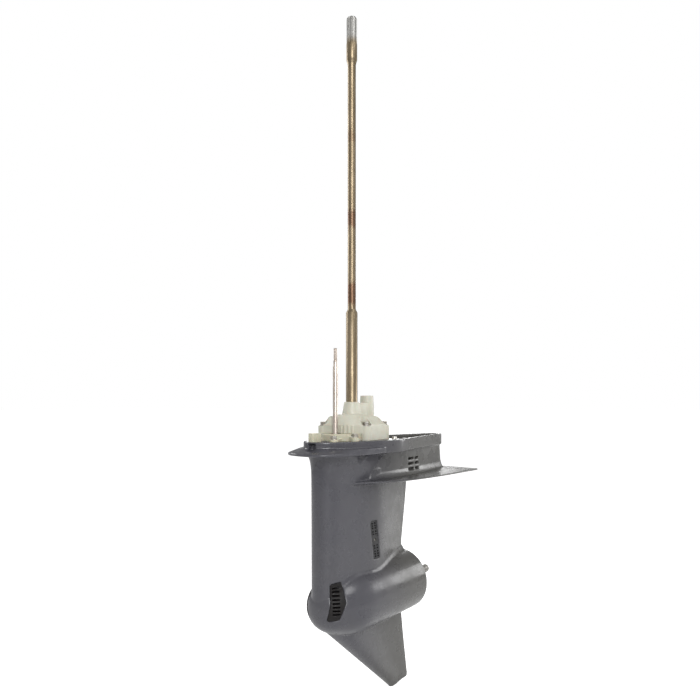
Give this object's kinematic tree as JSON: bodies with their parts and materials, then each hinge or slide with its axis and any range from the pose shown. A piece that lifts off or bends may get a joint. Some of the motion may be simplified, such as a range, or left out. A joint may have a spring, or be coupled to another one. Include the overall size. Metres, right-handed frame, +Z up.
{
  "type": "outboard lower unit",
  "caption": "Outboard motor lower unit: gearcase with leg, skeg and plate, long drive shaft, shift rod, water pump and a splined propeller shaft.",
  "frame": {"origin": "drive shaft's axis at the top face of the flange", "axes": "+X aft along the propeller shaft, +Y to starboard, +Z up along the drive shaft"},
  "size_m": [0.464, 0.196, 1.314],
  "materials": {
    "case_paint": "satin dark grey paint on cast aluminium",
    "pump_plastic": "cream glass-filled nylon",
    "black_plastic": "moulded",
    "shaft_steel": "ground stainless steel with a brown water stain",
    "bright_steel": "ground stainless steel",
    "gear_steel": "hardened and ground",
    "carrier_metal": "painted cast aluminium",
    "bronze": "machined",
    "rubber": "moulded",
    "gasket_sheet": "pressed fibre sheet"
  },
  "bodies": {
    "gearcase_body": {"gearcase": "case_paint", "intake_grille_port": "black_plastic", "intake_grille_starboard": "black_plastic", "grille_screws": "bright_steel", "nose_intake_port": "black_plastic", "nose_intake_starboard": "black_plastic", "oil_plugs": "bright_steel", "plug_washers": "rubber", "dowels": "bright_steel", "lower_needle_bearing": "gear_steel", "upper_bearing_cup": "gear_steel", "bearing_retainer": "gear_steel", "seal_housing": "carrier_metal", "seal_housing_o_ring": "rubber", "drive_shaft_seals": "rubber", "forward_bearing_cup": "gear_steel", "reverse_bearing_outer": "gear_steel", "bearing_carrier": "carrier_metal", "carrier_o_ring": "rubber", "carrier_needle_bearing": "gear_steel", "propeller_seals": "rubber", "carrier_nut": "carrier_metal", "pump_base": "pump_plastic", "pump_gasket": "gasket_sheet", "wear_plate": "bright_steel", "impeller_cup": "bright_steel", "pump_housing": "pump_plastic", "pump_neck_seal": "rubber", "water_tube_seal": "rubber", "rod_seal": "rubber", "pump_bolts": "bright_steel", "deck_bolts": "bright_steel", "pump_washers": "bright_steel", "tube_socket": "pump_plastic"},
    "drive_line": {"drive_shaft": "shaft_steel", "pinion_gear": "gear_steel", "pinion_nut": "gear_steel", "pinion_shim": "gear_steel", "upper_bearing_cone": "gear_steel", "impeller_key": "gear_steel", "impeller": "rubber"},
    "forward_gear_body": {"forward_gear": "gear_steel", "forward_gear_bush": "bronze", "forward_bearing_cone": "gear_steel"},
    "reverse_gear_body": {"reverse_gear": "gear_steel", "reverse_gear_bush": "bronze", "reverse_bearing_inner": "gear_steel"},
    "propeller_shaft_body": {"propeller_shaft": "bright_steel"},
    "clutch_body": {"dog_clutch": "gear_steel", "clutch_pin": "gear_steel", "clutch_ring": "gear_steel", "shift_plunger": "gear_steel"},
    "slider_body": {"shift_slider": "gear_steel"},
    "shift_rod_body": {"shift_rod": "bright_steel", "shift_cam": "gear_steel"}
  },
  "joints": [
    {"name": "drive_shaft_spin", "type": "hinge", "parent": "gearcase_body", "child": "drive_line", "pos_m": [0, 0, 0], "axis": [0, 0, 1], "continuous": true},
    {"name": "forward_gear_spin", "type": "hinge", "parent": "gearcase_body", "child": "forward_gear_body", "pos_m": [0, 0, -0.3], "axis": [1, 0, 0], "continuous": true},
    {"name": "reverse_gear_spin", "type": "hinge", "parent": "gearcase_body", "child": "reverse_gear_body", "pos_m": [0, 0, -0.3], "axis": [1, 0, 0], "continuous": true},
    {"name": "propeller_shaft_spin", "type": "hinge", "parent": "gearcase_body", "child": "propeller_shaft_body", "pos_m": [0, 0, -0.3], "axis": [1, 0, 0], "continuous": true},
    {"name": "shift_rod_turn", "type": "hinge", "parent": "gearcase_body", "child": "shift_rod_body", "pos_m": [-0.047, 0, 0], "axis": [0, 0, 1], "range_deg": [-22, 22]},
    {"name": "slider_slide", "type": "slide", "parent": "gearcase_body", "child": "slider_body", "axis": [1, 0, 0], "range_m": [-0.00221, 0.00221]},
    {"name": "clutch_slide", "type": "slide", "parent": "propeller_shaft_body", "child": "clutch_body", "axis": [1, 0, 0], "range_m": [-0.0022, 0.0022]}
  ],
  "couplings": [
    {"joint": "forward_gear_spin", "follows": "drive_shaft_spin", "ratio": 0.5},
    {"joint": "reverse_gear_spin", "follows": "drive_shaft_spin", "ratio": -0.5},
    {"joint": "slider_slide", "follows": "clutch_slide", "ratio": 1},
    {"joint": "shift_rod_turn", "follows": "clutch_slide", "rad_per_m": -174.53}
  ]
}
